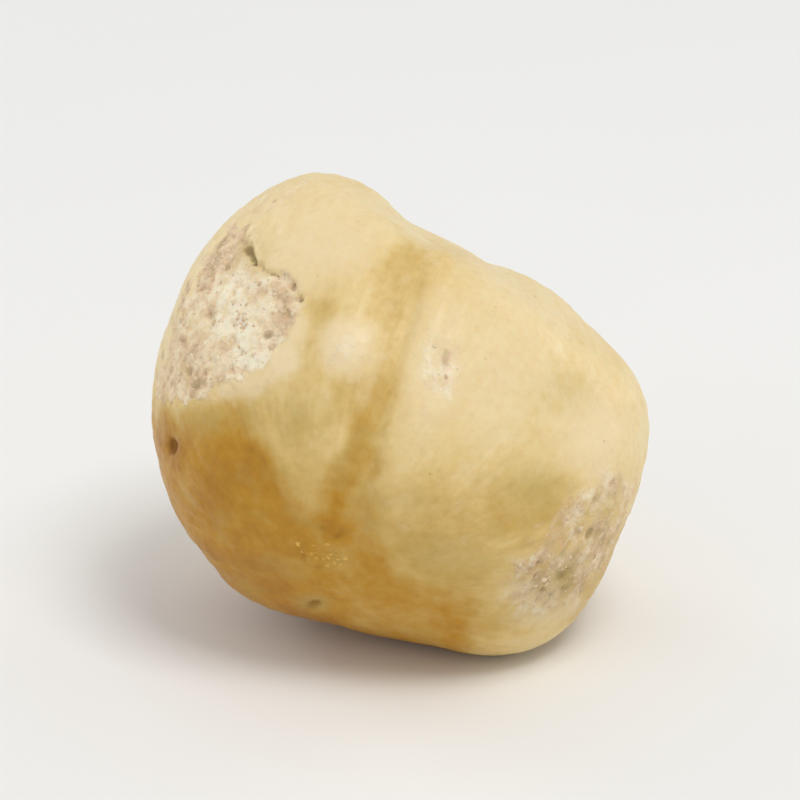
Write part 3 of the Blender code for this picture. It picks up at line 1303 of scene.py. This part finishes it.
    def _relieved(self, blank: bpy.types.Object, finish: bpy.types.Material) -> bpy.types.Object:
        """Raise and sink the surface by its fine relief, and leave the flat spot as it is.

        Args:
            blank: The smooth kernel with its marks.
            finish: The kernel's finish.

        Returns:
            The finished kernel.
        """
        graph = GeometryGraph("kernel_flesh")
        geometry = graph.surface_of(graph.input("Blank", "Object", blank))
        centre = graph.input("Centre", "Vector", kernel_centre())
        swell = graph.input("Swell height", "Float", self.swell_height)
        vein = graph.input("Vein height", "Float", self.vein_height)
        mound = graph.input("Meal height", "Float", self.meal_height)
        crumble = graph.input("Meal roughness", "Float", self.meal_roughness)
        knobbly = graph.input("Roughness at the base", "Float", self.bead_roughness)
        place = (graph.position() - centre) * TO_MM
        height = graph.position().dot(SKYWARD) * TO_MM
        meal = graph.attribute("meal")
        streak = graph.noise(graph.vector("fiber"), self.vein_scale, detail=3.0)
        ridge = (1.0 - abs(streak * 2.0 - 1.0) * self.vein_sharpness).clipped()
        swells = graph.noise(place, self.swell_scale, detail=3.0) - 0.5
        lumps = swells + (graph.noise(place, self.lump_scale, detail=3.0) - 0.5) * self.lump_share
        hollows = graph.cells(place, self.hollow_scale).fall(0.1, 0.4)
        crumbs = graph.noise(place, self.crumb_scale, detail=4.0) - 0.5 - hollows * self.hollow_share
        knobs = graph.noise(place, self.bead_scale, detail=3.0) - 0.5
        relief = graph.attribute("marked_height") + lumps * swell
        relief = relief + ridge * vein * graph.attribute("veined") * (1.0 - meal)
        relief = relief + meal * (mound + crumbs * crumble)
        relief = relief + graph.attribute("bead") * knobs * knobbly
        offset = graph.normal() * (relief * height.rise(0.05, 0.9) * MM)
        shaped = self._grounded(graph, graph.shift(geometry, offset))
        return graph.run("kernel_flesh", shaped, finish)


@dataclass(frozen=True)
class Grains:
    """Small grains sown on the kernel, where one of its marks is strong.

    Attributes:
        name: The name of the piece.
        mark: The mark that they follow.
        density: How many there are to a square millimetre where the mark is strongest.
        start: How strong the mark has to be before there are any.
        least: The smallest grain's width, in millimetres.
        greatest: The largest grain's width, in millimetres.
        flatness: Their height as a share of their width.
        sunk: How far they are sunk, as a share of their width.
        ragged: How far their points stray, in millimetres.
        seed: What the random draws start from.
        finish: Their finish.
        narrowness: Their second width as a share of the first.
        turns: How many turns the greatest draw spins a grain by.
        stray_scale: How many swells of the straying go to a millimetre.
    """

    name: str
    mark: str
    density: float
    start: float
    least: float
    greatest: float
    flatness: float
    sunk: float
    ragged: float
    seed: int
    finish: GrainFinish
    narrowness: float = 0.75
    turns: float = 7.0
    stray_scale: float = 9.0

    def build(self, kernel: bpy.types.Object) -> bpy.types.Object:
        """Make the piece.

        Args:
            kernel: The kernel that the grains are sown on.

        Returns:
            All the grains as one object.
        """
        graph = GeometryGraph(self.name)
        surface = graph.surface_of(graph.input("Kernel", "Object", kernel))
        seed = graph.input("Seed", "Int", self.seed)
        most = graph.input("Density", "Float", self.density / (MM * MM))
        least = graph.input("Least width", "Float", self.least * MM)
        greatest = graph.input("Greatest width", "Float", self.greatest * MM)
        flatness = graph.input("Flatness", "Float", self.flatness)
        sunk = graph.input("Sunk share", "Float", self.sunk)
        ragged = graph.input("Raggedness", "Float", self.ragged * MM)
        mark = graph.attribute(graph.input("Mark", "String", self.mark))
        sockets = {"Mesh": surface, "Density": mark.rise(self.start, 1.0) * most, "Seed": seed}
        points = graph.node("GeometryNodeDistributePointsOnFaces", None, sockets, "Points")
        draw = graph.random(0.0, 1.0, seed)
        width = least + (greatest - least) * draw * draw
        seated = graph.shift(points, points.other("Normal") * (width * sunk * -1.0))
        spin = {"Axis": SKYWARD, "Angle": draw * (self.turns * math.tau)}
        turn = graph.node("FunctionNodeAxisAngleToRotation", None, spin)
        sockets = {"Rotation": points.other("Rotation"), "Rotate By": turn}
        rotation = graph.node("FunctionNodeRotateRotation", {"rotation_space": "LOCAL"}, sockets)
        sockets = {0: width, 1: width * self.narrowness, 2: width * flatness}
        scale = graph.node("ShaderNodeCombineXYZ", None, sockets)
        ball = graph.node("GeometryNodeMeshIcoSphere", None, {"Radius": 0.5, "Subdivisions": 1})
        sockets = {"Points": seated, "Instance": ball, "Rotation": rotation, "Scale": scale}
        sown = graph.node("GeometryNodeInstanceOnPoints", None, sockets)
        real = graph.node("GeometryNodeRealizeInstances", None, {"Geometry": sown})
        stray = graph.noise(graph.position() * TO_MM, self.stray_scale, detail=1.0, output="Color")
        strayed = graph.shift(real, (stray - (0.5, 0.5, 0.5)) * ragged)
        return graph.run(self.name, strayed, self.finish.material())


@dataclass(frozen=True)
class SkinFlakes:
    """Thin flakes of brown skin that stayed on the kernel.

    Attributes:
        name: The name of the piece.
        thickness: Their thickness, in metres.
        lift: How far they stand off the flesh, in metres.
        curl: How far their rim curls up, in metres.
        weld: How near two points are that become one, in metres.
        faint: How strong the mark has to be for a flake to be cut there.
        rim: How strong it is at a flake's rim.
        jaggedness: How far noise moves the rim, in strength of the mark.
        jag_scale: How many swells of that noise go to a millimetre.
        curl_scale: How many curls go to a millimetre.
        finish: Their finish.
    """

    name: str = "skin_flakes"
    thickness: float = 0.045 * MM
    lift: float = 0.01 * MM
    curl: float = 0.06 * MM
    weld: float = 0.001 * MM
    faint: float = 0.15
    rim: float = 0.5
    jaggedness: float = 1.6
    jag_scale: float = 3.0
    curl_scale: float = 1.7
    finish: GrainFinish = GrainFinish(
        "papery_skin", (0.38, 0.16, 0.055, 1.0), (0.17, 0.055, 0.02, 1.0), 0.6
    )

    def build(self, kernel: bpy.types.Object) -> bpy.types.Object:
        """Make the piece.

        Args:
            kernel: The kernel that the flakes lie on.

        Returns:
            All the flakes as one object.
        """
        graph = GeometryGraph(self.name)
        surface = graph.surface_of(graph.input("Kernel", "Object", kernel))
        thickness = graph.input("Thickness", "Float", self.thickness)
        curl = graph.input("Curl", "Float", self.curl)
        mark = graph.attribute("skin")
        rough = graph.keep(surface, mark.above(self.faint))
        fine = graph.node("GeometryNodeSubdivideMesh", None, {"Mesh": rough, "Level": 1})
        place = graph.position() * TO_MM
        jagged = graph.noise(place, self.jag_scale, detail=4.0) - 0.5
        cut = graph.keep(fine, (mark + jagged * self.jaggedness).above(self.rim))
        curled = graph.noise(place, self.curl_scale, detail=1.0) * curl * mark.fall(self.rim, 1.0)
        sheet = graph.shift(cut, graph.normal() * (self.lift + curled))
        sockets = {"Mesh": sheet, "Offset Scale": thickness, "Individual": False}
        top = graph.node("GeometryNodeExtrudeMesh", None, sockets, "Mesh")
        under = graph.node("GeometryNodeFlipFaces", None, {"Mesh": sheet})
        joined = graph.node("GeometryNodeJoinGeometry", None, {"Geometry": top})
        graph.tree.links.new(under.socket, joined.socket.node.inputs[0])
        sockets = {"Geometry": joined, "Distance": self.weld}
        closed = graph.node("GeometryNodeMergeByDistance", None, sockets)
        return graph.run(self.name, closed, self.finish.material(), smooth=False)


CRUMBS = Grains(
    name="meal_crumbs",
    mark="meal",
    density=18.0,
    start=0.35,
    least=0.06,
    greatest=0.26,
    flatness=0.5,
    sunk=0.1,
    ragged=0.08,
    seed=11,
    finish=GrainFinish("dry_meal", (0.82, 0.68, 0.47, 1.0), (0.66, 0.49, 0.31, 1.0), 0.9),
)
SPECKS = Grains(
    name="dark_specks",
    mark="dark",
    density=46.0,
    start=0.3,
    least=0.04,
    greatest=0.12,
    flatness=0.35,
    sunk=0.08,
    ragged=0.03,
    seed=23,
    finish=GrainFinish("dark_fleck", (0.30, 0.23, 0.11, 1.0), (0.15, 0.105, 0.045, 1.0), 0.7),
)
BEADS = Grains(
    name="base_beads",
    mark="bead",
    density=16.0,
    start=0.3,
    least=0.18,
    greatest=0.38,
    flatness=0.45,
    sunk=0.12,
    ragged=0.08,
    seed=5,
    finish=GrainFinish("oily_bead", (0.80, 0.50, 0.12, 1.0), (0.58, 0.32, 0.04, 1.0), 0.4),
)


@dataclass(frozen=True)
class Lamp:
    """A square soft light that looks at the kernel.

    Attributes:
        name: Its name.
        place: Where it stands, in metres.
        size: The length of its side, in metres.
        power: Its power, in watts.
        color: Its colour.
    """

    name: str
    place: Triple
    size: float
    power: float
    color: Triple = (1.0, 1.0, 1.0)

    def build(self, target: Vector) -> bpy.types.Object:
        """Make the light.

        Args:
            target: The point that it looks at.

        Returns:
            The light's object.
        """
        data = bpy.data.lights.new(self.name, "AREA")
        data.shape = "SQUARE"
        data.size = self.size
        data.energy = self.power
        data.color = self.color
        lamp = bpy.data.objects.new(self.name, data)
        bpy.context.scene.collection.objects.link(lamp)
        lamp.location = self.place
        lamp.rotation_euler = (target - lamp.location).to_track_quat("-Z", "Y").to_euler()
        return lamp


@dataclass(frozen=True)
class Studio:
    """A pale floor, soft light and the camera."""

    floor_side: float = 3.0
    sky: Color = (1.0, 1.0, 1.0, 1.0)
    sky_strength: float = 0.55
    lens: float = 200.0
    sensor: float = 36.0
    nearest: float = 1.0 * MM
    kernel_share: float = 0.62
    lamps: tuple[Lamp, ...] = (
        Lamp("key_light", (0.10, -0.10, 0.30), 0.14, 0.46, (1.0, 0.985, 0.96)),
        Lamp("fill_light", (-0.28, -0.18, 0.14), 0.20, 0.10, (1.0, 0.985, 0.96)),
        Lamp("left_rim", (-0.24, 0.20, 0.10), 0.12, 0.20),
        Lamp("right_rim", (0.26, 0.18, 0.08), 0.12, 0.12),
    )
    finish: FloorFinish = FloorFinish()

    def build(self) -> None:
        """Make the floor, the lights and the camera."""
        low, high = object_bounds()
        middle = (low + high) / 2
        self._floor()
        self._sky()
        for lamp in self.lamps:
            lamp.build(middle)
        self._camera(middle, high.x - low.x)
        bpy.context.scene.view_settings.view_transform = "Standard"

    def _floor(self) -> None:
        """Make the floor."""
        half = self.floor_side / 2
        corners = [(-half, -half, 0), (half, -half, 0), (half, half, 0), (-half, half, 0)]
        mesh = bpy.data.meshes.new("floor")
        mesh.from_pydata(corners, [], [(0, 1, 2, 3)])
        mesh.materials.append(self.finish.material())
        floor = bpy.data.objects.new("floor", mesh)
        bpy.context.scene.collection.objects.link(floor)
        floor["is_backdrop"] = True

    def _sky(self) -> None:
        """Fill the surroundings with even light."""
        world = bpy.data.worlds.new("even_light")
        world.use_nodes = True
        background = world.node_tree.nodes["Background"]
        background.inputs["Color"].default_value = self.sky
        background.inputs["Strength"].default_value = self.sky_strength
        bpy.context.scene.world = world

    def _camera(self, middle: Vector, width: float) -> None:
        """Put the camera where the kernel fills its share of the picture.

        Args:
            middle: The point that the camera looks at.
            width: The kernel's width, in metres.
        """
        data = bpy.data.cameras.new("camera")
        data.lens = self.lens
        data.sensor_width = self.sensor
        data.clip_start = self.nearest
        camera = bpy.data.objects.new("camera", data)
        bpy.context.scene.collection.objects.link(camera)
        distance = width / self.kernel_share * self.lens / self.sensor
        camera.location = middle + TOWARD * distance
        camera.rotation_euler = (-TOWARD).to_track_quat("-Z", "Y").to_euler()
        bpy.context.scene.camera = camera


def add(piece: bpy.types.Object) -> None:
    """Fix a piece to the kernel's body, and report it.

    Args:
        piece: The piece.
    """
    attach(piece, BODY)
    log.info("%s: %d faces", piece.name, len(piece.data.polygons))


def main() -> None:
    """Build the kernel, what is sown on it, and the studio."""
    logging.basicConfig(level=logging.INFO, format="%(message)s")
    kernel = Kernel().build()
    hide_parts(SOLID)
    add(kernel)
    for grains in (CRUMBS, SPECKS, BEADS):
        add(grains.build(kernel))
    add(SkinFlakes().build(kernel))
    Studio().build()


if __name__ == "__main__":
    main()
